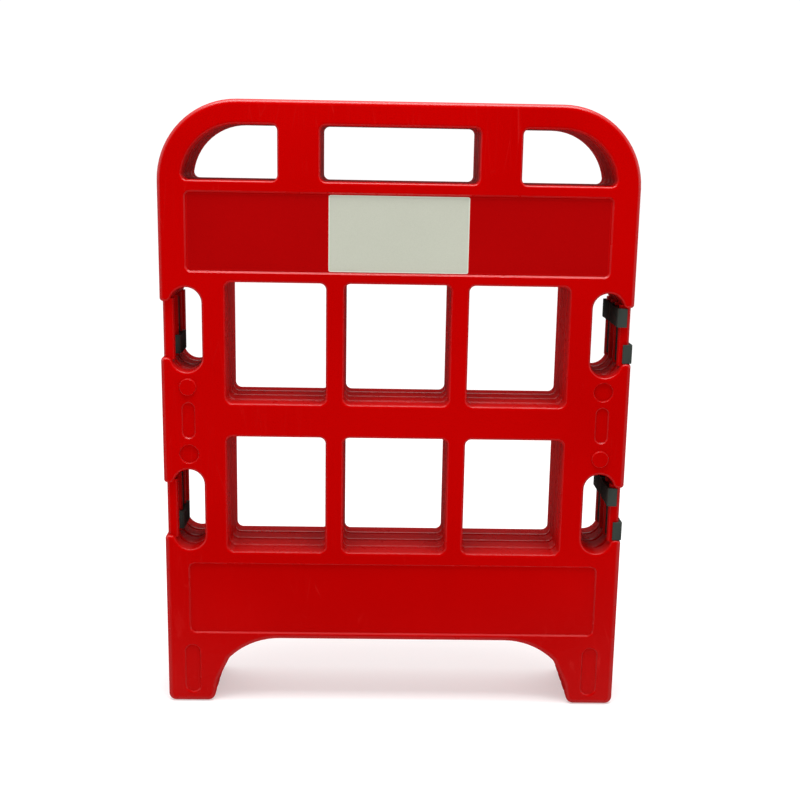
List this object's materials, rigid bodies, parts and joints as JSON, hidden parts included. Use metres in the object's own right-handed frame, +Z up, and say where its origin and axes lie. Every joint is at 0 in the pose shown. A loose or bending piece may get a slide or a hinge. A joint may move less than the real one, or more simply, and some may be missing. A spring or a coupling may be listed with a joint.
{
  "type": "folding work gate barrier",
  "caption": "Folding roadworks barrier: moulded plastic gates with windows, feet and reflective bands, chained by clips at alternate sides and folded flat.",
  "frame": {"origin": "on the floor, at the middle of the folded stack's bounding box", "axes": "+Z up, +X to the right along the gates, +Y back through the stack; gate 1 is in front at the lowest Y"},
  "size_m": [0.7518, 0.148, 0.988],
  "materials": {
    "gate_plastic": "blow-moulded polyethylene, safety red, satin with fine scuffs",
    "clip_plastic": "injection-moulded black nylon, slightly satin",
    "red_reflective": "red retroreflective sheet with a fine cell pattern",
    "white_reflective": "white retroreflective sheet with a fine cell pattern"
  },
  "bodies": {
    "gate_1": {"gate_panel_1": "gate_plastic", "front_left_red_sheet_1": "red_reflective", "front_white_sheet_1": "white_reflective", "front_right_red_sheet_1": "red_reflective", "rear_left_red_sheet_1": "red_reflective", "rear_white_sheet_1": "white_reflective", "rear_right_red_sheet_1": "red_reflective"},
    "gate_2": {"gate_panel_2": "gate_plastic", "front_left_red_sheet_2": "red_reflective", "front_white_sheet_2": "white_reflective", "front_right_red_sheet_2": "red_reflective", "rear_left_red_sheet_2": "red_reflective", "rear_white_sheet_2": "white_reflective", "rear_right_red_sheet_2": "red_reflective"},
    "gate_3": {"gate_panel_3": "gate_plastic", "front_left_red_sheet_3": "red_reflective", "front_white_sheet_3": "white_reflective", "front_right_red_sheet_3": "red_reflective", "rear_left_red_sheet_3": "red_reflective", "rear_white_sheet_3": "white_reflective", "rear_right_red_sheet_3": "red_reflective"},
    "gate_4": {"gate_panel_4": "gate_plastic", "front_left_red_sheet_4": "red_reflective", "front_white_sheet_4": "white_reflective", "front_right_red_sheet_4": "red_reflective", "rear_left_red_sheet_4": "red_reflective", "rear_white_sheet_4": "white_reflective", "rear_right_red_sheet_4": "red_reflective"},
    "clips_1_2": {"lower_clip_1_2": "clip_plastic", "upper_clip_1_2": "clip_plastic"},
    "clips_2_3": {"lower_clip_2_3": "clip_plastic", "upper_clip_2_3": "clip_plastic"},
    "clips_3_4": {"lower_clip_3_4": "clip_plastic", "upper_clip_3_4": "clip_plastic"}
  },
  "joints": [
    {"name": "clips_1_2_swing", "type": "hinge", "parent": "gate_1", "child": "clips_1_2", "pos_m": [0.3625, -0.054, 0.632], "axis": [0, 0, -1], "range_deg": [0, 180]},
    {"name": "gate_2_swing", "type": "hinge", "parent": "clips_1_2", "child": "gate_2", "pos_m": [0.3625, -0.018, 0.632], "axis": [0, 0, -1], "range_deg": [0, 105]},
    {"name": "clips_2_3_swing", "type": "hinge", "parent": "gate_2", "child": "clips_2_3", "pos_m": [-0.3625, -0.018, 0.632], "axis": [0, 0, 1], "range_deg": [0, 105]},
    {"name": "gate_3_swing", "type": "hinge", "parent": "clips_2_3", "child": "gate_3", "pos_m": [-0.3625, 0.018, 0.632], "axis": [0, 0, 1], "range_deg": [0, 105]},
    {"name": "clips_3_4_swing", "type": "hinge", "parent": "gate_3", "child": "clips_3_4", "pos_m": [0.3625, 0.018, 0.632], "axis": [0, 0, -1], "range_deg": [0, 105]},
    {"name": "gate_4_swing", "type": "hinge", "parent": "clips_3_4", "child": "gate_4", "pos_m": [0.3625, 0.054, 0.632], "axis": [0, 0, -1], "range_deg": [0, 180]}
  ]
}
